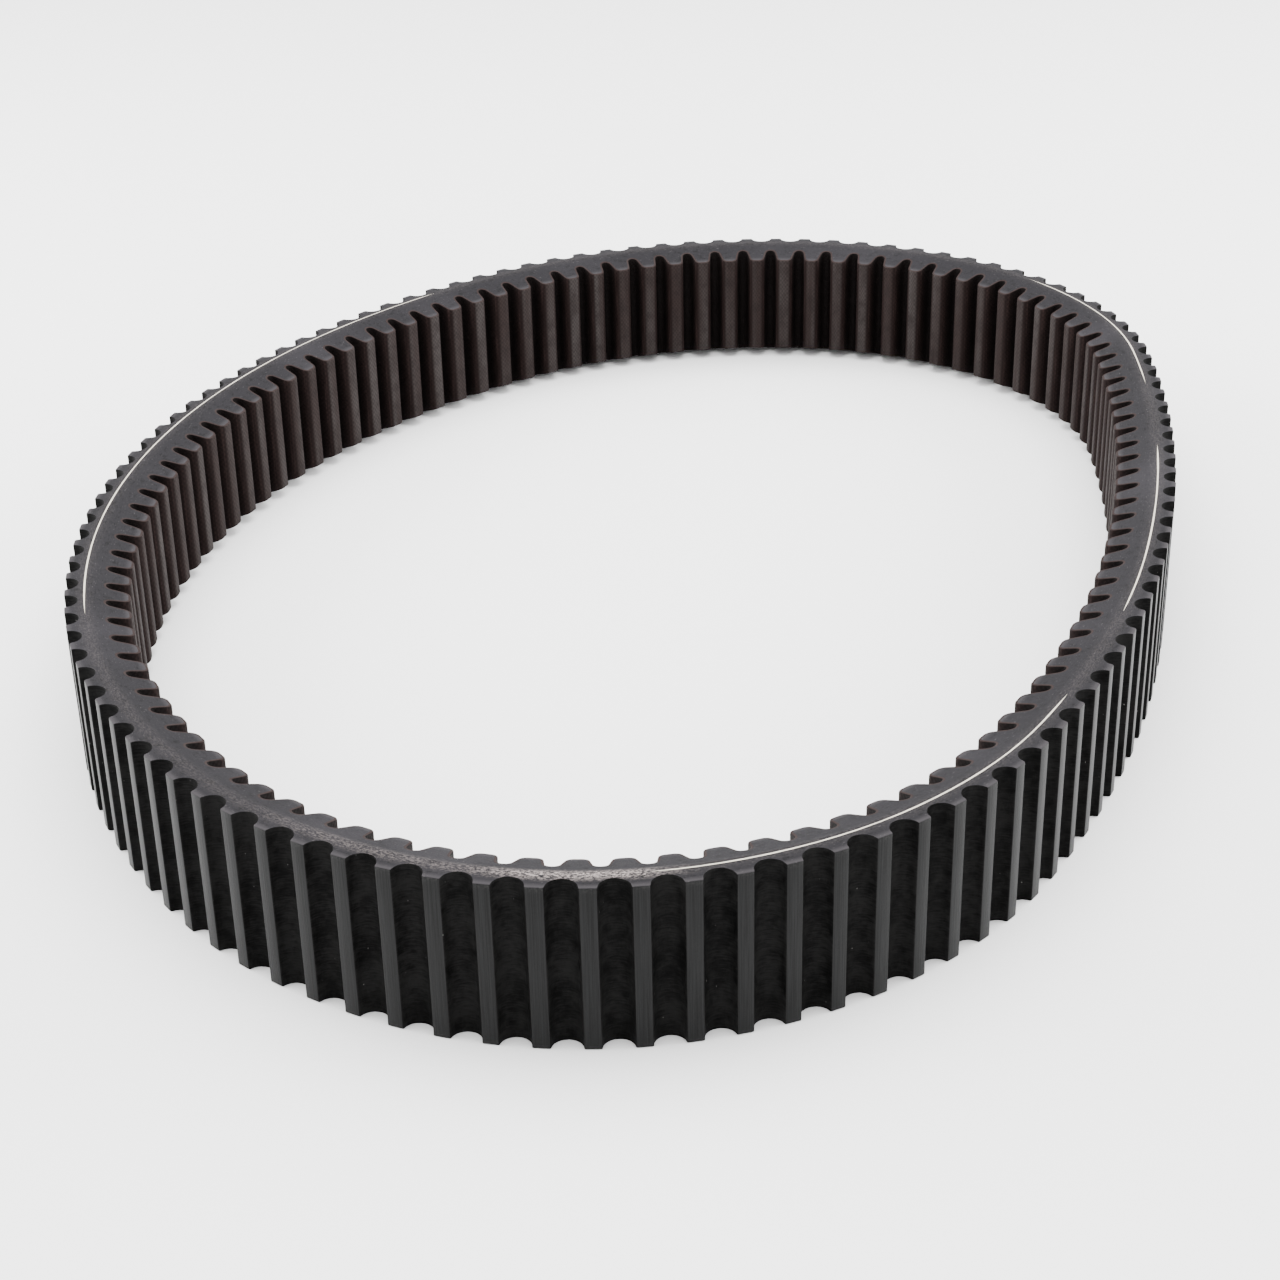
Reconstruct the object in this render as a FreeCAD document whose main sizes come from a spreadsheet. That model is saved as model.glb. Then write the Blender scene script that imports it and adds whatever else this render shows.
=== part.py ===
import FreeCAD, Part
import math
import os
import Sketcher
from FreeCAD import Matrix, Placement, Rotation, Vector

# Raw-edged, double-cogged belt for a variable-speed drive, lying on its side in a relaxed loop.
# Its layers are bonded rings, one inside the other, and depths run inward from the outer cog tips.
# Millimetres and degrees. The belt stands on z = 0, with the loop's long axis along Y.

os.makedirs("parts", exist_ok=True)
doc = FreeCAD.newDocument("DriveBelt")
sheet = doc.addObject("Spreadsheet::Sheet", "Sizes")

sizes = [
    ("LoopLength", 922.0, "round the outer cog tips"),
    ("TopWidth", 31.0, "across the two flat side bands"),
    ("Thickness", 12.8, "outer cog tips to inner cog tips"),
    ("FlankAngle", 18.0, "slope of each flank"),
    ("CordDepth", 3.9, "outer cog tips to the centre of the cord"),
    ("CordDiameter", 1.2, "thickness of the cord"),
    ("CordTurns", 17, "turns of cord across the belt"),
    ("CordEdge", 0.5, "centre of the last turn from the side face"),
    ("BandMargin", 0.1, "how far the flat side band goes on inside the cord"),
    ("OuterGum", 0.9, "cushion rubber outside the centre of the cord"),
    ("InnerGum", 1.1, "cushion rubber inside the centre of the cord"),
    ("OuterCogs", 112, "cogs on the outside"),
    ("OuterGap", 5.4, "mouth of the groove between two outer cogs"),
    ("OuterWeb", 0.35, "rubber left between that groove and the cushion"),
    ("InnerCogs", 108, "cogs on the inside"),
    ("InnerWeb", 2.5, "rubber left between the cushion and the cover's grooves"),
    ("InnerRoot", 1.25, "radius of the root of the groove between two inner cogs"),
    ("InnerCorner", 1.6, "radius of an inner cog's corners"),
    ("CogTaper", 11.0, "slope of an inner cog's sides"),
    ("Fabric", 0.5, "thickness of the cover on the inner cogs"),
    ("Trim", 1.0, "how far a cutting shape runs past what it cuts"),
]
for row, (alias, value, note) in enumerate(sizes, start=1):
    sheet.set("A%d" % row, alias)
    sheet.set("B%d" % row, str(value))
    sheet.set("C%d" % row, note)
    sheet.setAlias("B%d" % row, alias)
doc.recompute()

# The relaxed loop is a ring of tangent arcs, counter-clockwise from the point that faces +X: how far
# each arc turns, and its radius at the outer cog tips. The three radii left open are worked out, so
# that the loop closes and has its length.
bends = [
    (15, None),  # right side, rear half
    (40, 100.0),  # rear end
    (45, 90.0),
    (45, 114.0),
    (65, None),  # left side
    (25, 168.0),
    (25, 110.0),  # front end
    (40, None),
    (25, 95.0),
    (20, 109.0),
    (15, 300.0),  # right side, front half
]


def size(alias):
    return float(sheet.get(alias))


def facing(angle):
    return Vector(math.cos(angle), math.sin(angle), 0)


def loopArcs():
    # each arc's start angle, end angle and radius at the outer cog tips
    edges = [0.0]
    for turn, _ in bends:
        edges.append(edges[-1] + math.radians(turn))
    spans = list(zip(edges, edges[1:], (radius for _, radius in bends)))
    opened = []
    rest = Vector(0, 0, size("LoopLength"))
    for start, end, radius in spans:
        share = facing(end) - facing(start) + Vector(0, 0, end - start)
        if radius is None:
            opened.append(share)
        else:
            rest -= share * radius
    a, b, c = opened
    system = Matrix(a.x, b.x, c.x, 0, a.y, b.y, c.y, 0, a.z, b.z, c.z, 0, 0, 0, 0, 1)
    found = iter(system.inverse().multVec(rest))
    return [(start, end, next(found) if radius is None else radius) for start, end, radius in spans]


def loopPieces():
    # the arcs laid end to end from the origin, each with its centre
    pieces = []
    corner = Vector(0, 0, 0)
    for start, end, radius in loopArcs():
        centre = corner - facing(start) * radius
        pieces.append((centre, start, end, radius))
        corner = centre + facing(end) * radius
    return pieces


# depths of the layers' faces, each as a number and as the expression that holds it
gumTop = size("CordDepth") - size("OuterGum")
gumTopText = "Sizes.CordDepth - Sizes.OuterGum"
band = size("CordDepth") + size("CordDiameter") / 2 + size("BandMargin")
bandText = "Sizes.CordDepth + Sizes.CordDiameter / 2 + Sizes.BandMargin"
gumBase = size("CordDepth") + size("InnerGum")
gumBaseText = "Sizes.CordDepth + Sizes.InnerGum"
underCover = gumBase + size("InnerWeb") - size("Trim")
underCoverText = gumBaseText + " + Sizes.InnerWeb - Sizes.Trim"
grooveRoot = gumBase + size("InnerWeb") + size("Fabric")
pastTips = size("Thickness") + size("Trim")
pastTipsText = "Sizes.Thickness + Sizes.Trim"

pieces = loopPieces()
print("loop radii at the outer cog tips:", [round(radius, 1) for _, _, _, radius in pieces])


def tipPoint(angle):
    for centre, start, end, radius in pieces:
        if start - 1e-9 <= angle <= end + 1e-9:
            return centre + facing(angle) * radius


def frameAt(fraction):
    # the outer tip point and the way it faces, at a share of the cord's own length
    left = fraction * (size("LoopLength") - 2 * math.pi * size("CordDepth"))
    for centre, start, end, radius in pieces:
        cordRadius = radius - size("CordDepth")
        if left <= cordRadius * (end - start) + 1e-9:
            angle = start + left / cordRadius
            return centre + facing(angle) * radius, facing(angle)
        left -= cordRadius * (end - start)


def loopCentre():
    right, rear, left, front = (tipPoint(math.pi / 2 * quarter) for quarter in range(4))
    return Vector((right.x + left.x) / 2, (rear.y + front.y) / 2, 0)


def newBody(label):
    body = doc.addObject("PartDesign::Body", label)
    body.Label = label
    body.AllowCompound = True
    return body


def newSketch(body, name, role):
    sketch = body.newObject("Sketcher::SketchObject", name)
    plane = next(item for item in body.Origin.OriginFeatures if item.Role == role)
    sketch.AttachmentSupport = [(plane, "")]
    sketch.MapMode = "FlatFace"
    return sketch


def addPath(body):
    sketch = newSketch(body, body.Label + "_path", "XY_Plane")
    for centre, start, end, radius in pieces:
        sketch.addGeometry(Part.ArcOfCircle(Part.Circle(centre, Vector(0, 0, 1), radius), start, end), False)
    for index in range(len(pieces)):
        following = (index + 1) % len(pieces)
        sketch.addConstraint(Sketcher.Constraint("Coincident", index, 2, following, 1))
    return sketch


def named(alias):
    return "Sizes." + alias


def pin(sketch, geometry, position, depth, height):
    # ties a point's depth and height to the sheet, where None leaves the point on that axis
    if depth is None:
        sketch.addConstraint(Sketcher.Constraint("PointOnObject", geometry, position, -2))
    else:
        index = sketch.addConstraint(Sketcher.Constraint("DistanceX", geometry, position, -1, 1, 1.0))
        sketch.setExpression("Constraints[%d]" % index, depth)
    if height is None:
        sketch.addConstraint(Sketcher.Constraint("PointOnObject", geometry, position, -1))
    else:
        index = sketch.addConstraint(Sketcher.Constraint("DistanceY", -1, 1, geometry, position, 1.0))
        sketch.setExpression("Constraints[%d]" % index, height)


def addSection(body, corners):
    # corners: depth, height, and the expressions that hold them, in order round the section
    sketch = newSketch(body, body.Label + "_section", "XZ_Plane")
    count = len(corners)
    for index in range(count):
        depth, height = corners[index][:2]
        nextDepth, nextHeight = corners[(index + 1) % count][:2]
        line = Part.LineSegment(Vector(-depth, height, 0), Vector(-nextDepth, nextHeight, 0))
        sketch.addGeometry(line, False)
    for index in range(count):
        sketch.addConstraint(Sketcher.Constraint("Coincident", index, 2, (index + 1) % count, 1))
    for index, (_, _, depthText, heightText) in enumerate(corners):
        pin(sketch, index, 1, depthText, heightText)
    return sketch


def flankCorners(depth, depthText):
    # the lower and upper corner of the belt's section at one depth
    width = size("TopWidth")
    if depth <= band:
        return (depth, 0.0, depthText, None), (depth, width, depthText, named("TopWidth"))
    rise = (depth - band) * math.tan(math.radians(size("FlankAngle")))
    riseText = "(%s - (%s)) * tan(Sizes.FlankAngle * 1 deg)" % (depthText, bandText)
    upperText = "Sizes.TopWidth - " + riseText
    return (depth, rise, depthText, riseText), (depth, width - rise, depthText, upperText)


def addRing(label, outer, outerText, inner, innerText):
    # a ring of the belt's own section between two depths
    body = newBody(label)
    levels = [(outer, outerText)]
    if outer < band < inner:
        levels.append((band, bandText))
    levels.append((inner, innerText))
    pairs = [flankCorners(depth, text) for depth, text in levels]
    section = addSection(body, [low for low, _ in pairs] + [high for _, high in reversed(pairs)])
    return sweep(body, "PartDesign::AdditivePipe", section, addPath(body))


def sweep(body, kind, section, path):
    pipe = body.newObject(kind, section.Label + "_sweep")
    pipe.Profile = section
    pipe.Spine = (path, [])
    section.Visibility = path.Visibility = False
    body.Tip = pipe
    doc.recompute()
    return body


def cutThrough(body, sketch, upward=True):
    # a pocket that has to take something away
    before = body.Shape.Volume
    pocket = body.newObject("PartDesign::Pocket", sketch.Label + "_cut")
    pocket.Profile = sketch
    pocket.Type = "ThroughAll"
    pocket.Reversed = upward
    body.Tip = pocket
    doc.recompute()
    if body.Shape.Volume > before - 1.0:
        raise RuntimeError("%s cut nothing" % sketch.Label)


def cordTurns(body, kind):
    # one turn of cord at the lower side, repeated up to the other side
    sketch = newSketch(body, body.Label + "_turn", "XZ_Plane")
    centre = Vector(-size("CordDepth"), size("CordEdge"), 0)
    sketch.addGeometry(Part.Circle(centre, Vector(0, 0, 1), size("CordDiameter") / 2), False)
    index = sketch.addConstraint(Sketcher.Constraint("Diameter", 0, size("CordDiameter")))
    sketch.setExpression("Constraints[%d]" % index, named("CordDiameter"))
    pin(sketch, 0, 3, named("CordDepth"), named("CordEdge"))
    sweep(body, kind, sketch, addPath(body))
    pattern = body.newObject("PartDesign::LinearPattern", body.Label + "_turns")
    pattern.Originals = [body.Tip]
    pattern.Direction = (sketch, ["V_Axis"])
    pattern.setExpression("Length", "Sizes.TopWidth - 2 * Sizes.CordEdge")
    pattern.setExpression("Occurrences", named("CordTurns"))
    body.Tip = pattern
    doc.recompute()


def squareOff(body):
    # the cord is cut flush with both side faces
    reach = size("LoopLength")
    for side, upward, heightText in (("lower", False, None), ("upper", True, named("TopWidth"))):
        sketch = newSketch(body, body.Label + "_" + side, "XY_Plane")
        sketch.addGeometry(Part.Circle(Vector(0, 0, 0), Vector(0, 0, 1), reach), False)
        if heightText:
            sketch.setExpression("AttachmentOffset.Base.z", heightText)
        doc.recompute()
        cutThrough(body, sketch, upward)


def outerGrooves(body):
    # each groove is a round cut, centred outside the cog tips
    gap, depth = size("OuterGap"), gumTop - size("OuterWeb")
    radius = (gap * gap / 4 + depth * depth) / (2 * depth)
    sketch = newSketch(body, body.Label + "_grooves", "XY_Plane")
    count = int(size("OuterCogs"))
    for index in range(count):
        tip, outward = frameAt(index / count)
        sketch.addGeometry(Part.Circle(tip + outward * (radius - depth), Vector(0, 0, 1), radius), False)
    cutThrough(body, sketch)


def cogOutline(cover):
    # the closed outline of the inner cogs, at a distance under the face of their cover
    root = size("InnerRoot") + cover
    corner = size("InnerCorner") - cover
    taper = math.radians(size("CogTaper"))
    rootDepth = grooveRoot + size("InnerRoot")
    cornerDepth = size("Thickness") - size("InnerCorner")
    reach = (root + corner + (cornerDepth - rootDepth) * math.sin(taper)) / math.cos(taper)
    rootCentre = Vector(0, -rootDepth, 0)
    cornerCentre = Vector(reach, -cornerDepth, 0)
    halfGroove = [
        rootCentre + facing(taper) * root,
        cornerCentre - facing(taper) * corner,
        cornerCentre - facing(math.pi / 4 + taper / 2) * corner,
        cornerCentre - facing(math.pi / 2) * corner,
    ]
    count = int(size("InnerCogs"))
    outline = []
    tipEnds = []
    for index in range(count):
        tip, outward = frameAt((index + 0.5) / count)
        along = Vector(-outward.y, outward.x, 0)
        rootEnds = []
        for hand in (-1, 1):
            placed = [tip + along * (point.x * hand) + outward * point.y for point in halfGroove]
            rootEnd, cornerStart, cornerMiddle, cornerEnd = placed
            outline.append(Part.LineSegment(rootEnd, cornerStart))
            outline.append(Part.Arc(cornerStart, cornerMiddle, cornerEnd))
            rootEnds.append(rootEnd)
            tipEnds.append(cornerEnd)
        rootMiddle = tip + outward * (root - rootDepth)
        outline.append(Part.Arc(rootEnds[0], rootMiddle, rootEnds[1]))
    for index in range(1, 2 * count, 2):
        outline.append(Part.LineSegment(tipEnds[index], tipEnds[(index + 1) % (2 * count)]))
    return outline


def cutCogs(body, cover, outside=False):
    # takes away all that is inside the outline, or all that is outside it
    sketch = newSketch(body, body.Label + ("_outside" if outside else "_inside"), "XY_Plane")
    sketch.addGeometry(cogOutline(cover), False)
    if outside:
        sketch.addGeometry(Part.Circle(Vector(0, 0, 0), Vector(0, 0, 1), size("LoopLength")), False)
    cutThrough(body, sketch)


outerRubber = addRing("outer_cog_rubber", 0.0, None, gumTop, gumTopText)
outerGrooves(outerRubber)

cushion = addRing("cushion_rubber", gumTop, gumTopText, gumBase, gumBaseText)
cordTurns(cushion, "PartDesign::SubtractivePipe")

cord = newBody("tensile_cord")
cordTurns(cord, "PartDesign::AdditivePipe")
squareOff(cord)

innerRubber = addRing("inner_cog_rubber", gumBase, gumBaseText, pastTips, pastTipsText)
cutCogs(innerRubber, size("Fabric"))

cover = addRing("inner_cog_fabric", underCover, underCoverText, pastTips, pastTipsText)
cutCogs(cover, 0.0)
cutCogs(cover, size("Fabric"), outside=True)

layers = [outerRubber, cushion, cord, innerRubber, cover]
centre = loopCentre()
for layer in layers:
    layer.Placement = Placement(centre * -1, Rotation())
doc.recompute()

for item in doc.Objects:
    if "Invalid" in item.State or "Error" in item.State:
        raise RuntimeError("%s is %s" % (item.Label, item.State))
for layer in layers:
    if layer.Shape.isNull() or not layer.Shape.isValid():
        raise RuntimeError("%s has no valid shape" % layer.Label)
    box = layer.Shape.BoundBox
    print(layer.Label, len(layer.Shape.Solids), "solids", round(layer.Shape.Volume), "mm3",
          [round(side, 2) for side in (box.XLength, box.YLength, box.ZLength)])
for layer in layers:
    layer.Shape.exportStep("parts/%s.step" % layer.Label)
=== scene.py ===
import math

import bmesh
import bpy
from mathutils import Matrix, Vector


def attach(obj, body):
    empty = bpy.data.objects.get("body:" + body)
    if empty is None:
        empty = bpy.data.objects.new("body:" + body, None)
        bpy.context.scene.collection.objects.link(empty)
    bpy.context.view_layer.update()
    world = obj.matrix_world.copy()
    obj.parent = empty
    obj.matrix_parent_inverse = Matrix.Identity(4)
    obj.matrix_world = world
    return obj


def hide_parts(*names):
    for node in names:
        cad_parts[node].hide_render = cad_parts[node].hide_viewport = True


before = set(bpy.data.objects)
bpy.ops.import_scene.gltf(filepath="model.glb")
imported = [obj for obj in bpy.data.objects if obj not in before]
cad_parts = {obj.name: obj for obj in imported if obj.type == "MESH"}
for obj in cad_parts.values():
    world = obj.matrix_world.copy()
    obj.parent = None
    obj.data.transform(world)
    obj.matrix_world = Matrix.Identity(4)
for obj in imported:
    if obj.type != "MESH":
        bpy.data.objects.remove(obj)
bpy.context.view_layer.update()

mm = 0.001
print("frame loaded with", len(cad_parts), "nodes")


class Wire:
    # wraps a socket, so that sums written on it add Math nodes
    def __init__(self, board, socket):
        self.board = board
        self.socket = socket

    def out(self, name):
        return Wire(self.board, self.socket.node.outputs[name])

    def combine(self, operation, first, second):
        return self.board.add("ShaderNodeMath", {"operation": operation}, {0: first, 1: second})

    def __add__(self, other):
        return self.combine("ADD", self, other)

    def __radd__(self, other):
        return self.combine("ADD", other, self)

    def __sub__(self, other):
        return self.combine("SUBTRACT", self, other)

    def __rsub__(self, other):
        return self.combine("SUBTRACT", other, self)

    def __mul__(self, other):
        return self.combine("MULTIPLY", self, other)

    def __rmul__(self, other):
        return self.combine("MULTIPLY", other, self)

    def __truediv__(self, other):
        return self.combine("DIVIDE", self, other)

    def __rtruediv__(self, other):
        return self.combine("DIVIDE", other, self)

    def __mod__(self, other):
        return self.combine("FLOORED_MODULO", self, other)

    def __gt__(self, other):
        return self.combine("GREATER_THAN", self, other)

    def __lt__(self, other):
        return self.combine("LESS_THAN", self, other)

    def lowest(self, other):
        return self.combine("MINIMUM", self, other)

    def highest(self, other):
        return self.combine("MAXIMUM", self, other)

    def floor(self):
        return self.combine("FLOOR", self, 0.0)

    def size(self):
        return self.combine("ABSOLUTE", self, 0.0)

    def wave(self):
        return self.combine("SINE", self, 0.0)


class Board:
    # the nodes of one tree, all added through the one method
    def __init__(self, tree):
        self.tree = tree
        tree.nodes.clear()

    def add(self, kind, settings=None, feeds=None, out=0):
        node = self.tree.nodes.new(kind)
        for name, value in (settings or {}).items():
            if name == "stops":
                # a new ramp has two stops already
                for index, (place, colour) in enumerate(value):
                    if index > 1:
                        node.color_ramp.elements.new(place)
                    node.color_ramp.elements[index].position = place
                    node.color_ramp.elements[index].color = colour
            else:
                setattr(node, name, value)
        for key, value in (feeds or {}).items():
            if isinstance(value, Wire):
                self.tree.links.new(value.socket, node.inputs[key])
            else:
                node.inputs[key].default_value = value
        return Wire(self, node.outputs[out]) if len(node.outputs) else node

    def vector(self, x=0.0, y=0.0, z=0.0):
        return self.add("ShaderNodeCombineXYZ", {}, {0: x, 1: y, 2: z})

    def parts(self, vector):
        split = self.add("ShaderNodeSeparateXYZ", {}, {0: vector})
        return split.out("X"), split.out("Y"), split.out("Z")

    def ease(self, value, low, high):
        # 0 below low, 1 above high, smooth between
        return self.add("ShaderNodeMapRange", {"interpolation_type": "SMOOTHSTEP"},
                        {"Value": value, "From Min": low, "From Max": high})

    def look(self, item):
        # the geometry of a helper
        source = self.add("GeometryNodeObjectInfo", {"transform_space": "ORIGINAL"}, {"Object": item})
        return source.out("Geometry")

    def sample(self, geometry, value, index):
        return self.add("GeometryNodeSampleIndex", {"data_type": "FLOAT_VECTOR", "domain": "POINT"},
                        {"Geometry": geometry, "Value": value, "Index": index})

    def reach(self, value, ends):
        # as ease, between two lengths in mm
        return self.ease(value, ends[0] * mm, ends[1] * mm)

    def stretch(self, places, rates, *rest):
        return self.vector(*[place * rate for place, rate in zip(places, rates)], *rest)

    def mix(self, share, first, second):
        return self.add("ShaderNodeMix", {"data_type": "RGBA"}, {0: share, 6: first, 7: second}, out=2)


# the section in mm, with depths from the outer cog tips, and the flank's slope in degrees
belt = {"width": 31.0, "thickness": 12.8, "band": 4.6, "flank": 18.0, "cord": 3.9,
        "gumTop": 3.0, "gumBase": 5.0}

# a ring of tangent arcs: degrees turned, and radius in mm at the outer cog tips, solved where None
loopShape = {
    "length": 922.0,
    "points": 1800,
    "bends": [(15, None), (40, 100.0), (45, 90.0), (45, 114.0), (65, None), (25, 168.0), (25, 110.0),
              (40, None), (25, 95.0), (20, 109.0), (15, 300.0)],
}


# rounding allowed where one arc gives way to the next
slack = 1e-9


def facing(angle):
    return Vector((math.cos(angle), math.sin(angle), 0.0))


def loopArcs():
    # centre, start angle, end angle and radius of each arc
    angle = 0.0
    spans = []
    for turn, radius in loopShape["bends"]:
        spans.append((angle, angle + math.radians(turn), radius))
        angle += math.radians(turn)
    opened = []
    rest = Vector((0.0, 0.0, loopShape["length"]))
    for start, end, radius in spans:
        share = facing(end) - facing(start) + Vector((0.0, 0.0, end - start))
        if radius is None:
            opened.append(share)
        else:
            rest -= share * radius
    solved = iter(Matrix(opened).transposed().inverted() @ rest)
    corner = Vector((0.0, 0.0, 0.0))
    arcs = []
    for start, end, radius in spans:
        radius = next(solved) if radius is None else radius
        centre = corner - facing(start) * radius
        arcs.append((centre, start, end, radius))
        corner = centre + facing(end) * radius
    return arcs


def loopLine():
    # points at equal steps along the cord, in metres, about the middle of the loop
    arcs = loopArcs()
    quarters = []
    for quarter in range(4):
        angle = quarter * math.pi / 2
        arc = next(item for item in arcs if item[1] - slack <= angle <= item[2] + slack)
        quarters.append(arc[0] + facing(angle) * arc[3])
    middle = Vector(((quarters[0].x + quarters[2].x) / 2, (quarters[1].y + quarters[3].y) / 2, 0.0))
    depth = belt["cord"]
    whole = loopShape["length"] - 2 * math.pi * depth
    points = []
    for index in range(loopShape["points"]):
        left = whole * index / loopShape["points"]
        for centre, start, end, radius in arcs:
            lineRadius = radius - depth
            if left <= lineRadius * (end - start) + slack:
                points.append((centre + facing(start + left / lineRadius) * lineRadius - middle) * mm)
                break
            left -= lineRadius * (end - start)
    return points, whole * mm


def guide(name, points, closed=False):
    # a helper that the trees read: a closed poly line, or loose points in order
    if closed:
        data = bpy.data.curves.new(name, "CURVE")
        data.dimensions = "3D"
        spline = data.splines.new("POLY")
        spline.points.add(len(points) - 1)
        for spot, point in zip(spline.points, points):
            spot.co = (*point, 1.0)
        spline.use_cyclic_u = True
    else:
        data = bpy.data.meshes.new(name)
        data.from_pydata([tuple(point) for point in points], [], [])
    item = bpy.data.objects.new(name, data)
    bpy.context.scene.collection.objects.link(item)
    return item


linePoints, lineLength = loopLine()
loopGuide = guide("loopGuide", linePoints, closed=True)
print("loop made, cord line", round(lineLength / mm, 2), "mm")


# near points are welded within mm, a cog's flat top is told by its depth within mm, a ground side by how far
# its normal leans up or down, and an edge is sharp past degrees
meshing = {"weld": 0.001, "tipReach": 0.06, "lean": 0.6, "sharp": 34}


def openTree(name, sockets):
    tree = bpy.data.node_groups.new(name, "GeometryNodeTree")
    for label, kind in sockets:
        tree.interface.new_socket(label, in_out="INPUT", socket_type="NodeSocket" + kind)
    tree.interface.new_socket("Geometry", in_out="OUTPUT", socket_type="NodeSocketGeometry")
    board = Board(tree)
    return tree, board, board.add("NodeGroupInput")


def closeTree(board, geometry, finishes):
    # finishes: each material with the faces that take it, where the first takes them all
    done = board.add("GeometryNodeRealizeInstances", {}, {0: geometry})
    for material, chosen in finishes:
        feeds = {"Geometry": done, "Material": material}
        if chosen is not None:
            feeds["Selection"] = chosen
        done = board.add("GeometryNodeSetMaterial", {}, feeds)
    board.add("NodeGroupOutput", {}, {0: done})


def layerTree():
    tree, board, given = openTree("cogLayer", [
        ("Loop", "Object"), ("Face", "Object"), ("Back", "Object"), ("Rows", "Object"), ("Cogs", "Int"),
        ("Columns", "Int"), ("Row Count", "Int"), ("First Groove", "Float"), ("Line Length", "Float"),
        ("Run Length", "Float"), ("Cord Depth", "Float"), ("Width", "Float"), ("Band", "Float"),
        ("Slope", "Float"), ("Bent Back", "Bool"), ("Seed", "Int"), ("Unevenness", "Float"),
        ("Tip Depth", "Float"), ("Moulded", "Material"), ("Tips", "Material"), ("Ground", "Material")])
    cogs, columns, rows = (given.out(name) for name in ("Cogs", "Columns", "Row Count"))
    whole, cordDepth, width = (given.out(name) for name in ("Line Length", "Cord Depth", "Width"))
    grid = board.add("GeometryNodeMeshGrid", {}, {"Vertices X": cogs * columns + 1, "Vertices Y": rows})
    index = board.add("GeometryNodeInputIndex")
    column = ((index + 0.5) / rows).floor()
    row = index - column * rows
    cog = ((column + 0.5) / columns).floor()
    spot = column - cog * columns
    position = board.add("GeometryNodeInputPosition")

    def read(name, place):
        source = board.look(given.out(name))
        return board.parts(board.sample(source, position, place))

    def stepFrom(start, direction, distance):
        return board.add("ShaderNodeVectorMath", {"operation": "MULTIPLY_ADD"},
                         {0: direction, 1: distance, 2: start})

    def stand(share):
        # where the cord line is at a share of the loop, the way along it, and the way outward
        found = board.add("GeometryNodeSampleCurve", {"mode": "FACTOR", "use_all_curves": True},
                          {"Curves": board.look(given.out("Loop")), "Factor": share % 1.0})
        along = found.out("Tangent")
        outward = board.add("ShaderNodeVectorMath", {"operation": "CROSS_PRODUCT"},
                            {0: along, 1: (0.0, 0.0, 1.0)})
        return found.out("Position"), along, outward

    faceAside, faceDepth, faceRun = read("Face", spot)
    backAside, backDepth, _ = read("Back", spot)
    inward, height, inset = read("Rows", row)
    chance = board.add("FunctionNodeRandomValue", {"data_type": "FLOAT"},
                       {2: -1.0, 3: 1.0, "ID": cog % cogs, "Seed": given.out("Seed")}, out=1)
    shift = chance * given.out("Unevenness")
    share = (cog + given.out("First Groove")) / cogs
    start, along, outward = stand(share)
    face = stepFrom(stepFrom(start, along, faceAside + shift), outward, cordDepth - faceDepth)
    straightBack = stepFrom(stepFrom(start, along, backAside + shift), outward, cordDepth - backDepth)
    bentStart, _, bentOutward = stand(share + backAside / whole)
    bentBack = stepFrom(bentStart, bentOutward, cordDepth - backDepth)
    back = board.add("GeometryNodeSwitch", {"input_type": "VECTOR"},
                     {"Switch": given.out("Bent Back"), "False": straightBack, "True": bentBack})
    point = board.add("ShaderNodeMix", {"data_type": "VECTOR"}, {0: inward, 4: face, 5: back}, out=1)
    depth = faceDepth + (backDepth - faceDepth) * inward
    low = ((depth - given.out("Band")) * given.out("Slope")).highest(0.0) + inset
    level = low + (width - low * 2.0) * height
    x, y, _ = board.parts(point)
    placed = board.add("GeometryNodeSetPosition", {},
                       {"Geometry": grid, "Position": board.vector(x, y, level)})

    def keep(geometry, name, kind, value):
        # held on the face corners, so that nothing is averaged where the ring closes
        held = board.add("GeometryNodeFieldOnDomain", {"data_type": "FLOAT_VECTOR", "domain": "POINT"},
                         {0: value})
        return board.add("GeometryNodeStoreNamedAttribute", {"data_type": kind, "domain": "CORNER"},
                         {"Geometry": geometry, "Name": name, "Value": held})

    marked = keep(placed, "beltPlace", "FLOAT_VECTOR", board.vector(share * whole + faceAside, level, depth))
    runPlace = board.vector(cog * given.out("Run Length") + faceRun, level)
    marked = keep(marked, "surfaceRun", "FLOAT2", runPlace)
    merged = board.add("GeometryNodeMergeByDistance", {},
                       {"Geometry": marked, "Distance": meshing["weld"] * mm})
    # whatever faces up or down is a ground side, and the cogs' flat tops have a finish of their own
    marks = board.add("GeometryNodeInputNamedAttribute", {"data_type": "FLOAT_VECTOR"}, {"Name": "beltPlace"})
    onTip = (board.parts(marks)[2] - given.out("Tip Depth")).size() < meshing["tipReach"] * mm
    upright = board.parts(board.add("GeometryNodeInputNormal"))[2].size()
    closeTree(board, merged, [(given.out("Moulded"), None), (given.out("Tips"), onTip),
                              (given.out("Ground"), upright > meshing["lean"])])
    return tree


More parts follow.
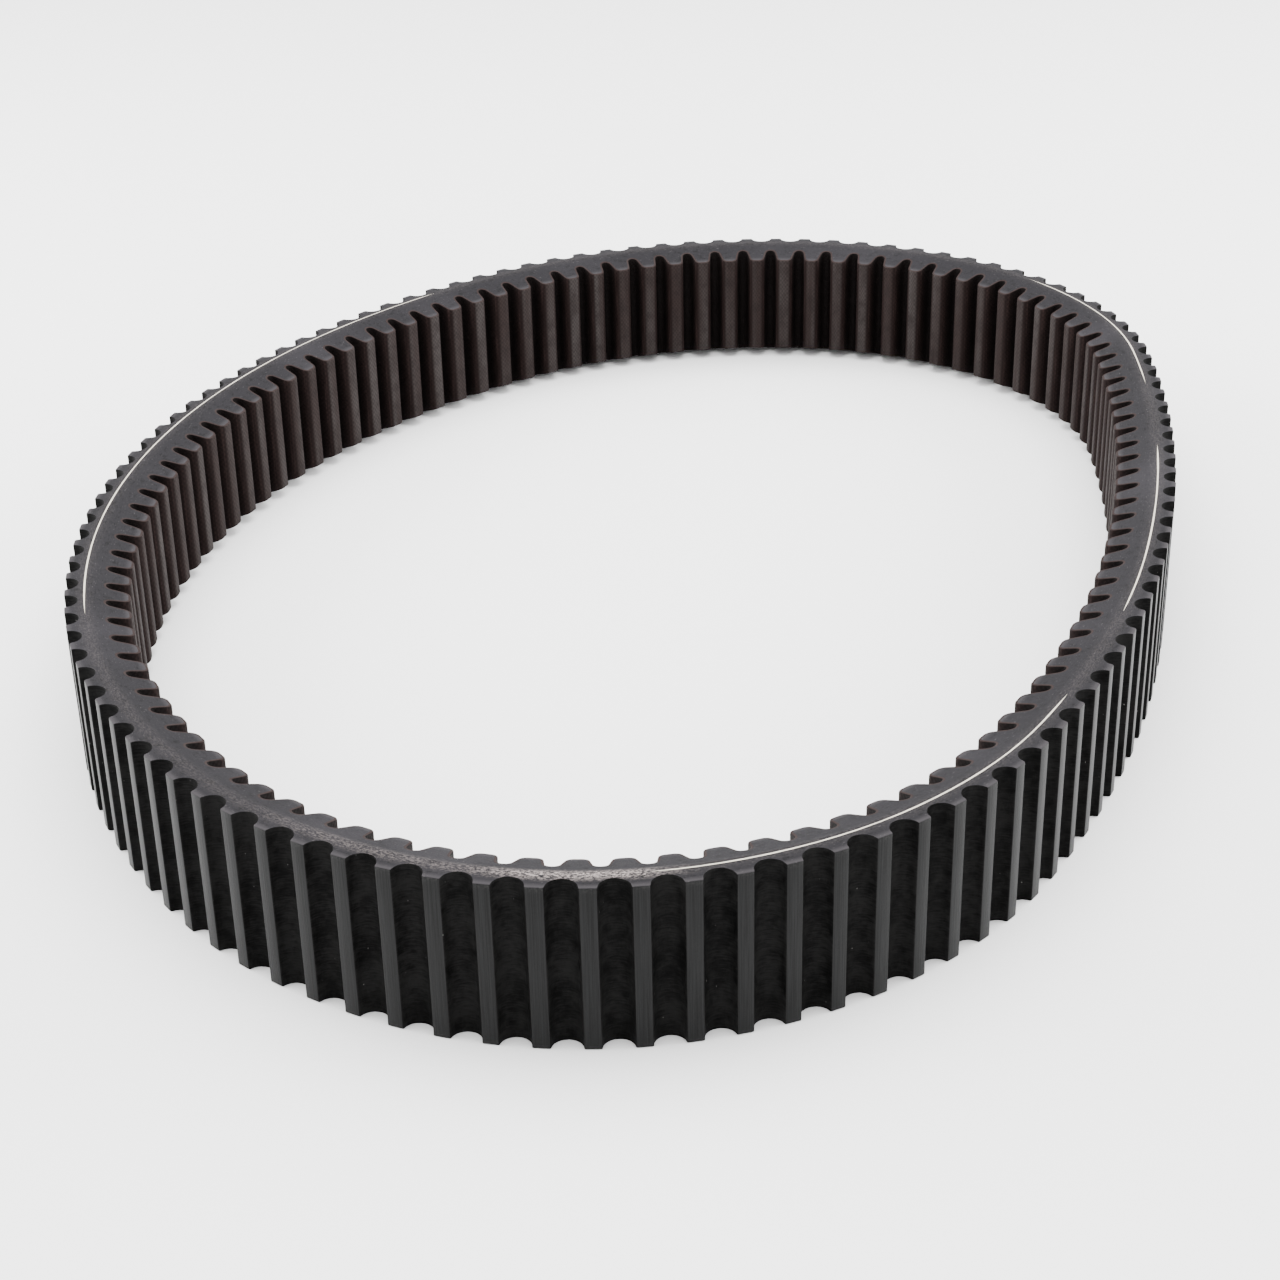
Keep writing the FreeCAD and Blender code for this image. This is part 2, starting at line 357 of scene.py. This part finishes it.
def cordTree():
    tree, board, given = openTree("cordTurns", [
        ("Loop", "Object"), ("Rise", "Object"), ("Turns", "Int"), ("Steps", "Int"), ("Sides", "Int"),
        ("Radius", "Float"), ("Edge", "Float"), ("Width", "Float"), ("Proud", "Float"), ("Cord", "Material")])
    width, edge, proud, steps = (given.out(name) for name in ("Width", "Edge", "Proud", "Steps"))
    line = board.add("GeometryNodeResampleCurve", {}, {"Curve": board.look(given.out("Loop")), "Count": steps})
    index = board.add("GeometryNodeInputIndex")
    line = board.add("GeometryNodeStoreNamedAttribute", {"data_type": "FLOAT", "domain": "POINT"},
                     {"Geometry": line, "Name": "turnShare", "Value": index / steps})
    ring = board.add("GeometryNodeCurvePrimitiveCircle", {},
                     {"Resolution": given.out("Sides"), "Radius": given.out("Radius")})
    tube = board.add("GeometryNodeCurveToMesh", {}, {"Curve": line, "Profile Curve": ring})
    gap = (width - edge * 2.0) / (given.out("Turns") - 1)
    stack = board.add("GeometryNodeMeshLine", {"mode": "OFFSET"},
                      {"Count": given.out("Turns"), "Start Location": board.vector(0.0, 0.0, edge),
                       "Offset": board.vector(0.0, 0.0, gap)})
    turns = board.add("GeometryNodeInstanceOnPoints", {}, {"Points": stack, "Instance": tube})
    turns = board.add("GeometryNodeRealizeInstances", {}, {0: turns})
    share = board.add("GeometryNodeInputNamedAttribute", {"data_type": "FLOAT"}, {"Name": "turnShare"})
    rises = board.look(given.out("Rise"))
    position = board.add("GeometryNodeInputPosition")
    rise = board.parts(board.sample(rises, position, share * steps + 0.5))[2]
    x, y, z = board.parts(position)
    top = z > width - edge - gap * 0.5
    bottom = z < edge + gap * 0.5
    level = z + rise * top - rise * bottom
    level = level.highest(proud * -1.0).lowest(width + proud)
    cut = board.add("GeometryNodeSetPosition", {}, {"Geometry": turns, "Position": board.vector(x, y, level)})
    closeTree(board, cut, [(given.out("Cord"), None)])
    return tree


def grow(name, tree, values):
    # runs a tree and keeps what it makes as a plain mesh
    item = bpy.data.objects.new(name, bpy.data.meshes.new(name + "Start"))
    bpy.context.scene.collection.objects.link(item)
    modifier = item.modifiers.new("grow", "NODES")
    modifier.node_group = tree
    for socket in tree.interface.items_tree:
        if socket.in_out == "INPUT":
            modifier[socket.identifier] = values[socket.name]
    bpy.context.view_layer.update()
    depsgraph = bpy.context.evaluated_depsgraph_get()
    mesh = bpy.data.meshes.new_from_object(item.evaluated_get(depsgraph), preserve_all_data_layers=True,
                                           depsgraph=depsgraph)
    item.modifiers.clear()
    item.data = mesh
    mesh.name = name
    shell = bmesh.new()
    shell.from_mesh(mesh)
    bmesh.ops.recalc_face_normals(shell, faces=shell.faces)
    openEdges = sum(1 for edge in shell.edges if len(edge.link_faces) != 2)
    shell.to_mesh(mesh)
    shell.free()
    mesh.polygons.foreach_set("use_smooth", [True] * len(mesh.polygons))
    mesh.set_sharp_from_angle(angle=math.radians(meshing["sharp"]))
    triangles = sum(len(face.vertices) - 2 for face in mesh.polygons)
    print(name, len(mesh.polygons), "faces", triangles, "triangles", openEdges, "open edges")
    return item


def openMaterial(name):
    material = bpy.data.materials.new(name)
    material.use_nodes = True
    return material, Board(material.node_tree)


def beltPlace(board):
    # metres along the cord line, up from the lower side, and in from the outer cog tips
    return board.parts(board.add("ShaderNodeAttribute", {"attribute_name": "beltPlace"}).out("Vector"))


def surfaceRun(board):
    # metres along the surface, in and out of every groove, and up from the lower side
    return board.parts(board.add("ShaderNodeAttribute", {"attribute_name": "surfaceRun"}).out("Vector"))[:2]


def bodyPlace(board):
    return board.add("ShaderNodeTexCoord").out("Object")


def grey(value, warm=0.0):
    return (value * (1 + warm), value, value * (1 - warm), 1.0)


def noise(board, place, pattern):
    # a pattern is its scale, its detail and its roughness
    scale, detail, rough = pattern
    return board.add("ShaderNodeTexNoise", {"noise_dimensions": "3D"},
                     {"Vector": place, "Scale": scale, "Detail": detail, "Roughness": rough})


def coat(board, colour, roughness, height, strength, distance, specular, sheen=0.0):
    bump = board.add("ShaderNodeBump", {}, {"Strength": strength, "Distance": distance, "Height": height})
    shader = board.add("ShaderNodeBsdfPrincipled", {}, {
        "Base Color": colour, "Roughness": roughness, "Normal": bump, "Sheen Weight": sheen,
        "Specular IOR Level": specular})
    board.add("ShaderNodeOutputMaterial", {}, {"Surface": shader})


# each look holds its shades, its patterns, the rates per metre that stretch them, and reaches in mm
tipLook = {"shade": 0.0032, "wear": 0.026, "wearReach": (0.0, 1.4),
           "lines": (1.0, 3.0, 0.6), "lineRates": (5200, 60, 900), "broad": (60, 2.0, 0.6),
           "fine": (2400, 2.0, 0.7)}


def tipRubber():
    # the flat tops of the outer cogs: fine lines across the belt, and pale scuffs towards the sides
    material, board = openMaterial("tipRubber")
    place = beltPlace(board)
    body = bodyPlace(board)
    lines = noise(board, board.stretch(place, tipLook["lineRates"]), tipLook["lines"])
    broad = noise(board, body, tipLook["broad"])
    fine = noise(board, body, tipLook["fine"])
    side = board.reach(place[1].lowest(belt["width"] * mm - place[1]), tipLook["wearReach"])
    worn = (1 - side) * board.ease(fine, 0.4, 0.75)
    shade = tipLook["shade"]
    colour = board.mix(board.ease(lines, 0.3, 0.7), grey(shade * 0.3), grey(shade * 2.3, -0.03))
    colour = board.mix(board.ease(broad, 0.45, 0.75) * 0.4, colour, grey(shade * 1.8, -0.02))
    colour = board.mix(worn * 0.7, colour, grey(tipLook["wear"], 0.02))
    roughness = 0.34 + lines * 0.16 + worn * 0.2
    coat(board, colour, roughness, lines * 0.7 + fine * 0.3, strength=0.5, distance=0.1 * mm, specular=0.12)
    return material


grooveLook = {"shade": 0.0022, "fleck": 0.10, "flecks": (0.77, 0.82),
              "ribs": (1.0, 2.0, 0.6), "ribRates": (500, 3600), "mottle": (420, 3.0, 0.65),
              "fibres": (1.0, 1.0, 0.5), "fibreRates": (1500, 900), "fibreShift": 4.0, "broad": (90, 2.0, 0.6)}


def grooveRubber():
    # the round grooves between the outer cogs: dull black, with a few short pale fibres
    material, board = openMaterial("grooveRubber")
    surface = surfaceRun(board)
    body = bodyPlace(board)
    ribs = noise(board, board.stretch(surface, grooveLook["ribRates"]), grooveLook["ribs"])
    mottle = noise(board, body, grooveLook["mottle"])
    fibrePlace = board.stretch(surface, grooveLook["fibreRates"], grooveLook["fibreShift"])
    fibres = noise(board, fibrePlace, grooveLook["fibres"])
    flecks = board.ease(fibres, *grooveLook["flecks"])
    broad = noise(board, body, grooveLook["broad"])
    tone = ribs * 0.35 + mottle * 0.35 + broad * 0.3
    shade = grooveLook["shade"]
    colour = board.mix(board.ease(tone, 0.38, 0.62), grey(shade * 0.2), grey(shade * 3.4, 0.02))
    colour = board.mix(flecks * 0.8, colour, grey(grooveLook["fleck"], 0.03))
    coat(board, colour, 0.62 + mottle * 0.2, ribs * 0.6 + mottle * 0.4, strength=0.4, distance=0.08 * mm,
         specular=0.05)
    return material


# the tips colour, with the two reaches next to the outer and inner cog tips, is a painted highlight along the
# side's edges
groundLook = {"dark": (0.0028, 0.0026, 0.0032, 1.0), "middle": (0.0098, 0.0090, 0.0108, 1.0),
              "light": (0.027, 0.0248, 0.0288, 1.0), "tips": (0.040, 0.0365, 0.0395, 1.0),
              "fibre": (0.10, 0.092, 0.094, 1.0), "frayed": (0.33, 0.285, 0.27, 1.0),
              "outerEdgeHighlight": (0.1, 1.5), "innerEdgeHighlight": (10.8, 12.6), "fluffReach": (0.2, 2.4),
              "mottle": (620, 4.0, 0.75), "grain": (3000, 2.0, 0.7), "broad": (30, 2.0, 0.5),
              "scores": (1.0, 3.0, 0.65), "scoreRates": (300, 4800, 300),
              "fibres": (1.0, 2.0, 0.6), "fibreRates": (1300, 3600, 900),
              "fluff": (1.0, 3.0, 0.8), "fluffRates": (1700, 3800, 1700)}

# the cut round the cord is roughest over one stretch at the front: metres along the cord line, and how rough
fray = {"some": 0.15, "someOver": (0.655, 0.69), "most": 0.65, "mostOver": (0.703, 0.72),
        "endOver": (0.729, 0.744), "elsewhere": 0.06}


def groundSide():
    # the sides are ground: mottled grey with fine scores along the belt, and fluff where the cord is cut; a
    # pale band along the edges next to both rows of cog tips is painted highlight
    material, board = openMaterial("groundSide")
    along, across, depth = beltPlace(board)
    body = bodyPlace(board)
    place = (along, depth, across)
    mottle = noise(board, body, groundLook["mottle"])
    grain = noise(board, body, groundLook["grain"])
    broad = noise(board, body, groundLook["broad"])
    scores = noise(board, board.stretch(place, groundLook["scoreRates"]), groundLook["scores"])
    fibres = noise(board, board.stretch(place, groundLook["fibreRates"]), groundLook["fibres"])
    fibres = board.ease(fibres, 0.64, 0.74)
    tone = mottle * 0.45 + scores * 0.3 + grain * 0.25
    colour = board.add("ShaderNodeValToRGB", {"stops": [
        (0.43, groundLook["dark"]), (0.58, groundLook["light"]), (0.5, groundLook["middle"])]}, {"Fac": tone})
    # painted highlight: the side is lightened in bands along its edges next to the inner and the outer cog tips
    innerEdgeHighlight = board.reach(depth, groundLook["innerEdgeHighlight"])
    tips = innerEdgeHighlight.highest(1 - board.reach(depth, groundLook["outerEdgeHighlight"]))
    colour = board.mix(tips * 0.7, colour, groundLook["tips"])
    colour = board.mix(board.ease(broad, 0.45, 0.75) * 0.4, colour, groundLook["light"])
    colour = board.mix(fibres * 0.4, colour, groundLook["fibre"])
    nearCord = 1 - board.reach((depth - belt["cord"] * mm).size(), groundLook["fluffReach"])
    most = board.ease(along, *fray["mostOver"]) * fray["most"]
    swell = most + board.ease(along, *fray["someOver"]) * fray["some"]
    rough = swell * (1 - board.ease(along, *fray["endOver"])) + fray["elsewhere"]
    fluff = noise(board, board.stretch(place, groundLook["fluffRates"]), groundLook["fluff"])
    fluff = board.ease(fluff, 0.42, 0.64)
    colour = board.mix(nearCord * rough * fluff, colour, groundLook["frayed"])
    roughness = 0.55 + grain * 0.25
    height = scores * 0.45 + grain * 0.3 + mottle * 0.25
    coat(board, colour, roughness, height, strength=0.4, distance=0.1 * mm, specular=0.09)
    return material


# the groove and side colours are painted shade on the cover's flanks and in its grooves; the tip and worn
# colours make pale tips that are partly wear and dust and partly painted light
clothLook = {"thread": 0.62 * mm, "tip": (0.0185, 0.0122, 0.0113, 1.0), "groove": (0.0020, 0.0010, 0.0009, 1.0),
             "corner": (0.046, 0.028, 0.026, 1.0), "dust": (0.013, 0.0092, 0.0088, 1.0),
             "gap": (0.0012, 0.0008, 0.0008, 1.0), "worn": (0.034, 0.0285, 0.0275, 1.0),
             "side": (0.0085, 0.0044, 0.0040, 1.0),
             "grooveShadeReach": (9.2, 12.4), "tipReach": (12.4, 12.78), "cornerReach": (11.0, 11.7),
             "cornerEnd": (12.0, 12.6), "mottle": (260, 4.0, 0.65), "fine": (2800, 2.0, 0.7),
             "streaks": (1.0, 2.0, 0.6), "streakRates": (2600, 90),
             "shade": (1.0, 2.0, 0.6), "shadeRates": (130, 12), "shadeShift": 7.0}


def clothFace():
    # the woven cover: threads along and across; the tips are paler and browner, partly from wear and dust and
    # partly painted light, and the flanks and grooves are darkened to nearly black as painted shade
    material, board = openMaterial("clothFace")
    depth = beltPlace(board)[2]
    surface = surfaceRun(board)
    body = bodyPlace(board)
    turn = math.pi / clothLook["thread"]
    weave = (surface[0] * turn).wave() * (surface[1] * turn).wave()
    weave = weave * 0.5 + 0.5
    mottle = noise(board, body, clothLook["mottle"])
    fine = noise(board, body, clothLook["fine"])
    streaks = noise(board, board.stretch(surface, clothLook["streakRates"]), clothLook["streaks"])
    # painted shade: the cover darkens from the flanks down to nearly black in the grooves, and the flat tips
    # are paler, partly painted light
    side = board.reach(depth, clothLook["grooveShadeReach"])
    tip = board.reach(depth, clothLook["tipReach"])
    corner = board.reach(depth, clothLook["cornerReach"]) * (1 - board.reach(depth, clothLook["cornerEnd"]))
    # each cog is a little browner or greyer than the next
    shadePlace = board.stretch(surface, clothLook["shadeRates"], clothLook["shadeShift"])
    shade = noise(board, shadePlace, clothLook["shade"])
    worn = board.mix(board.ease(shade, 0.35, 0.65), clothLook["tip"], clothLook["worn"])
    colour = board.mix(side, clothLook["groove"], clothLook["side"])
    # the pale tips: partly wear and dust, partly painted light
    colour = board.mix(tip, colour, worn)
    colour = board.mix(corner * board.ease(streaks, 0.4, 0.7) * 0.3, colour, clothLook["corner"])
    colour = board.mix(board.ease(mottle, 0.4, 0.7) * 0.5 * (0.25 + tip), colour, clothLook["dust"])
    colour = board.mix((1 - weave) * 0.45, colour, clothLook["gap"])
    colour = board.mix(board.ease(fine, 0.62, 0.78) * 0.3, colour, clothLook["corner"])
    roughness = 0.66 + fine * 0.2
    height = weave * 0.7 + fine * 0.3
    coat(board, colour, roughness, height, strength=0.5, distance=0.12 * mm, specular=0.07)
    return material


edgeLook = {"dark": (0.005, 0.0031, 0.003, 1.0), "light": (0.034, 0.0215, 0.020, 1.0),
            "dust": (0.026, 0.020, 0.0195, 1.0), "threads": (2200, 3.0, 0.7), "broad": (300, 2.0, 0.5)}


def clothEdge():
    # the cut edge of the cover round the inner cogs
    material, board = openMaterial("clothEdge")
    body = bodyPlace(board)
    threads = noise(board, body, edgeLook["threads"])
    broad = noise(board, body, edgeLook["broad"])
    colour = board.mix(threads, edgeLook["dark"], edgeLook["light"])
    colour = board.mix(board.ease(broad, 0.4, 0.7) * 0.5, colour, edgeLook["dust"])
    coat(board, colour, 0.7 + threads * 0.15, threads, strength=0.4, distance=0.1 * mm, specular=0.09)
    return material


yarnLook = {"dark": (0.30, 0.27, 0.21, 1.0), "light": (0.74, 0.69, 0.58, 1.0), "dust": (0.30, 0.28, 0.25, 1.0),
            "threads": (1900, 3.0, 0.7), "broad": (160, 2.0, 0.5)}


def cordYarn():
    # cream yarn, cut along its length
    material, board = openMaterial("cordYarn")
    body = bodyPlace(board)
    threads = noise(board, body, yarnLook["threads"])
    broad = noise(board, body, yarnLook["broad"])
    colour = board.mix(threads, yarnLook["dark"], yarnLook["light"])
    colour = board.mix(board.ease(broad, 0.45, 0.75) * 0.45, colour, yarnLook["dust"])
    coat(board, colour, 0.75 + threads * 0.1, threads, strength=0.5, distance=0.1 * mm, specular=0.3, sheen=0.2)
    return material


def rowSet(name, share, bevel, faceDepth, backDepth):
    # once round the section: share of the way from face to back, side, and inset from that side in mm
    rounding = [math.radians(angle) for angle in (0, 30, 60, 90)]
    upper = [(share * (1 - math.cos(angle)), 1.0, bevel * (1 - math.sin(angle)) * mm) for angle in rounding]
    bend = (belt["band"] - faceDepth) / (backDepth - faceDepth)
    if 0.0 < bend < 1.0:
        # the side turns from flat band to flank inside this layer
        upper.append((bend, 1.0, 0.0))
    upper.append((1.0, 1.0, 0.0))
    lower = [(inward, 0.0, inset) for inward, _, inset in reversed(upper)]
    rows = upper + lower + [upper[0]]
    return guide(name, rows), len(rows)


def withRun(outline):
    # adds how far along the outline each point is, and says how far it is altogether
    run = 0.0
    points = [(outline[0][0] * mm, outline[0][1] * mm, 0.0)]
    for before, after in zip(outline, outline[1:]):
        run += math.dist(before, after) * mm
        points.append((after[0] * mm, after[1] * mm, run))
    return points, run


def arcPoints(centre, radius, start, end, steps):
    angles = [start + (end - start) * step / steps for step in range(steps + 1)]
    return [(centre[0] + radius * math.cos(angle), centre[1] + radius * math.sin(angle)) for angle in angles]


helpers = [loopGuide]
trees = {"layer": layerTree(), "cord": cordTree()}
looks = {"tip": tipRubber(), "groove": grooveRubber(), "ground": groundSide(), "cloth": clothFace(),
         "edge": clothEdge(), "cord": cordYarn()}


def addLayer(name, node, face, back, cogs, firstGroove, bevelShare, bevel, moulded, tips, ground,
             bentBack=True, unevenness=0.0, seed=3):
    facePoints, run = withRun(face)
    faceGuide = guide(name + "Face", facePoints)
    backGuide = guide(name + "Back", [(aside * mm, depth * mm, 0.0) for aside, depth in back])
    rowGuide, rowCount = rowSet(name + "Rows", bevelShare, bevel, face[0][1], back[0][1])
    helpers.extend([faceGuide, backGuide, rowGuide])
    pitch = lineLength / cogs
    layer = grow(name, trees["layer"], {
        "Loop": loopGuide, "Face": faceGuide, "Back": backGuide, "Rows": rowGuide, "Cogs": cogs,
        "Columns": len(face), "Row Count": rowCount, "First Groove": firstGroove, "Line Length": lineLength,
        "Run Length": run + pitch - (facePoints[-1][0] - facePoints[0][0]),
        "Cord Depth": belt["cord"] * mm, "Width": belt["width"] * mm, "Band": belt["band"] * mm,
        "Slope": math.tan(math.radians(belt["flank"])), "Bent Back": bentBack, "Seed": seed,
        "Unevenness": unevenness * mm, "Tip Depth": facePoints[0][1], "Moulded": moulded, "Tips": tips,
        "Ground": ground})
    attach(layer, "root")
    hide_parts(node)
    return layer


outerCog = {"count": 112, "gap": 5.4, "groove": 2.65, "edge": 0.25, "bevel": 0.2, "unevenness": 0.06}


def outerOutline():
    # a round groove, with its two edges eased a little
    half, deep, edge = outerCog["gap"] / 2, outerCog["groove"], outerCog["edge"]
    radius = (half * half + deep * deep) / (2 * deep)
    # the easing arc touches the tips' plane and the groove's own arc
    reach = math.sqrt((radius + edge) ** 2 - (radius - deep + edge) ** 2)
    turn = math.asin(reach / (radius + edge))
    groove = arcPoints((0.0, deep - radius), radius, math.pi / 2 + turn, math.pi / 2 - turn, 12)
    left = arcPoints((-reach, edge), edge, -math.pi / 2, turn - math.pi / 2, 3)
    right = [(-aside, depth) for aside, depth in reversed(left)]
    return left[:-1] + groove + right[1:]


outerFace = outerOutline()
outerBack = [(aside, belt["gumTop"]) for aside, _ in outerFace]
addLayer("outerCogs", "outer_cog_rubber", outerFace, outerBack, outerCog["count"],
         firstGroove=0.0, bevelShare=0.07, bevel=outerCog["bevel"], moulded=looks["groove"], tips=looks["tip"],
         ground=looks["ground"], unevenness=outerCog["unevenness"], seed=11)

cushion = {"blocks": 150, "steps": 3}
blockLength = lineLength / mm / cushion["blocks"]
blockSpots = [blockLength * (step / cushion["steps"] - 0.5) for step in range(cushion["steps"])]
addLayer("cushion", "cushion_rubber", [(spot, belt["gumTop"]) for spot in blockSpots],
         [(spot, belt["gumBase"]) for spot in blockSpots], cushion["blocks"], firstGroove=0.0,
         bevelShare=0.0001, bevel=0.0, moulded=looks["ground"], tips=looks["ground"], ground=looks["ground"])

innerCog = {"count": 108, "grooveRoot": 8.0, "root": 1.25, "corner": 1.6, "taper": 11.0, "cover": 0.5,
            "bevel": 0.25, "unevenness": 0.07}


def innerOutline(under):
    # a wedge of a groove between two cogs, at a distance under the face of the cover
    root, corner = innerCog["root"] + under, innerCog["corner"] - under
    taper = math.radians(innerCog["taper"])
    rootDepth = innerCog["grooveRoot"] + innerCog["root"]
    cornerDepth = belt["thickness"] - innerCog["corner"]
    reach = (root + corner + (cornerDepth - rootDepth) * math.sin(taper)) / math.cos(taper)
    middle = arcPoints((0.0, rootDepth), root, math.pi + taper, 2 * math.pi - taper, 8)
    left = arcPoints((-reach, cornerDepth), corner, math.pi / 2, taper, 6)
    right = [(-aside, depth) for aside, depth in reversed(left)]
    wall = [tuple((a + b) / 2 for a, b in zip(left[-1], middle[0]))]
    return left + wall + middle + [(-wall[0][0], wall[0][1])] + right


coverFace = innerOutline(0.0)
coverBack = innerOutline(innerCog["cover"])
rubberBack = [(aside, belt["gumBase"]) for aside, _ in coverBack]
# the rubber and its cover share one seed, so that their uneven cogs match
addLayer("innerCogs", "inner_cog_rubber", coverBack, rubberBack, innerCog["count"],
         firstGroove=0.5, bevelShare=0.01, bevel=0.0, moulded=looks["ground"], tips=looks["ground"],
         ground=looks["ground"], unevenness=innerCog["unevenness"], seed=5)
addLayer("cogCover", "inner_cog_fabric", coverFace, coverBack, innerCog["count"],
         firstGroove=0.5, bevelShare=0.3, bevel=innerCog["bevel"], moulded=looks["cloth"], tips=looks["cloth"],
         ground=looks["edge"], bentBack=False, unevenness=innerCog["unevenness"], seed=5)

# where the side turns come to the surface, as shares of the loop, how far they rise or sink in mm, and the
# ripples in that, each with its height in mm and how often it comes round
cordLook = {"turns": 17, "radius": 0.6, "edge": 0.6, "proud": 0.03, "steps": 220, "sides": 16,
            "shows": [(-0.034, 0.068), (0.105, 0.205), (0.405, 0.645), (0.815, 0.930)],
            "rise": 0.034, "sink": -0.06, "fade": 0.02, "ripples": [(0.004, 23), (0.003, 61)]}


def riseAt(share):
    out = 0.0
    for first, last in cordLook["shows"]:
        for lap in (-1, 0, 1):
            inside = min(share + lap - first, last - share - lap) / cordLook["fade"]
            out = max(out, min(max(inside + 0.5, 0.0), 1.0))
    ripple = sum(height * math.sin(share * 2 * math.pi * often) for height, often in cordLook["ripples"])
    return (cordLook["sink"] + (cordLook["rise"] - cordLook["sink"]) * out + ripple) * mm


riseShares = [step / cordLook["steps"] for step in range(cordLook["steps"] + 1)]
riseGuide = guide("cordRise", [(0.0, 0.0, riseAt(share)) for share in riseShares])
helpers.append(riseGuide)
cordPiece = grow("cordTurns", trees["cord"], {
    "Loop": loopGuide, "Rise": riseGuide, "Turns": cordLook["turns"], "Steps": cordLook["steps"],
    "Sides": cordLook["sides"], "Radius": cordLook["radius"] * mm, "Edge": cordLook["edge"] * mm,
    "Width": belt["width"] * mm, "Proud": cordLook["proud"] * mm, "Cord": looks["cord"]})
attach(cordPiece, "root")
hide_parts("tensile_cord")

for helper in helpers:
    bpy.data.objects.remove(helper)
for tree in trees.values():
    bpy.data.node_groups.remove(tree)
print("layers made")


studio = {"floorTone": 0.96, "floorSize": 8.0, "floorDrop": 0.05, "skyStrength": 2.0, "lightScale": 2.4,
          "floorPattern": (3.0, 2.0, 0.5)}

# the place in mm, three angles in degrees, the lens and the sensor in mm
view = {"place": (142.845, -453.589, 227.379), "azimuth": 17.65, "elevation": 26.861, "roll": -1.347,
        "lens": 64.85, "sensor": 36.0}
turn, tilt, roll = (math.radians(view[name]) for name in ("azimuth", "elevation", "roll"))


def paleFloor():
    material, board = openMaterial("paleFloor")
    soft = noise(board, bodyPlace(board), studio["floorPattern"])
    tone = studio["floorTone"]
    colour = board.mix(soft, grey(tone * 0.99), grey(min(tone * 1.01, 1.0)))
    coat(board, colour, 0.85 + soft * 0.05, soft, strength=0.02, distance=0.1 * mm, specular=0.2)
    return material


# the cord stands a little proud of the lower side, so the floor lies under it
bpy.ops.mesh.primitive_plane_add(size=studio["floorSize"], location=(0, 0, -studio["floorDrop"] * mm))
floor = bpy.context.object
floor.name = "floor"
floor.data.materials.append(paleFloor())

world = bpy.data.worlds.new("studioSky")
bpy.context.scene.world = world
world.use_nodes = True
sky = Board(world.node_tree)
glow = sky.add("ShaderNodeBackground", {}, {"Color": (1.0, 1.0, 1.0, 1.0), "Strength": studio["skyStrength"]})
sky.add("ShaderNodeOutputWorld", {}, {"Surface": glow})


def addLight(name, place, target, width, height, power):
    data = bpy.data.lights.new(name, "AREA")
    data.shape = "RECTANGLE"
    data.size, data.size_y = width, height
    data.energy = power * studio["lightScale"]
    lamp = bpy.data.objects.new(name, data)
    lamp.location = place
    lamp.rotation_euler = (Vector(target) - Vector(place)).to_track_quat("-Z", "Y").to_euler()
    bpy.context.scene.collection.objects.link(lamp)


def studioPlace(right, away, up):
    # seen from the camera: metres to its right, away from it, and up
    return (right * math.cos(turn) - away * math.sin(turn), right * math.sin(turn) + away * math.cos(turn), up)


addLight("topLight", studioPlace(0.0, 0.1, 0.9), (0, 0, 0), 1.1, 1.1, 9.0)
addLight("leftLight", studioPlace(-0.9, 0.2, 0.35), (0, 0, 0.01), 0.9, 0.7, 7.0)
addLight("rightLight", studioPlace(0.9, 0.25, 0.35), (0, 0, 0.01), 0.9, 0.7, 7.0)

ahead = Vector((-math.sin(turn) * math.cos(tilt), math.cos(turn) * math.cos(tilt), -math.sin(tilt)))
right = Vector((math.cos(turn), math.sin(turn), 0.0))
up = right.cross(ahead)
across = right * math.cos(roll) + up * math.sin(roll)
upward = up * math.cos(roll) - right * math.sin(roll)
camera = bpy.data.objects.new("camera", bpy.data.cameras.new("camera"))
camera.data.lens = view["lens"]
camera.data.sensor_width = view["sensor"]
heading = Matrix((across, upward, -ahead)).transposed().to_4x4()
camera.matrix_world = Matrix.Translation(Vector(view["place"]) * mm) @ heading
bpy.context.scene.collection.objects.link(camera)
bpy.context.scene.camera = camera
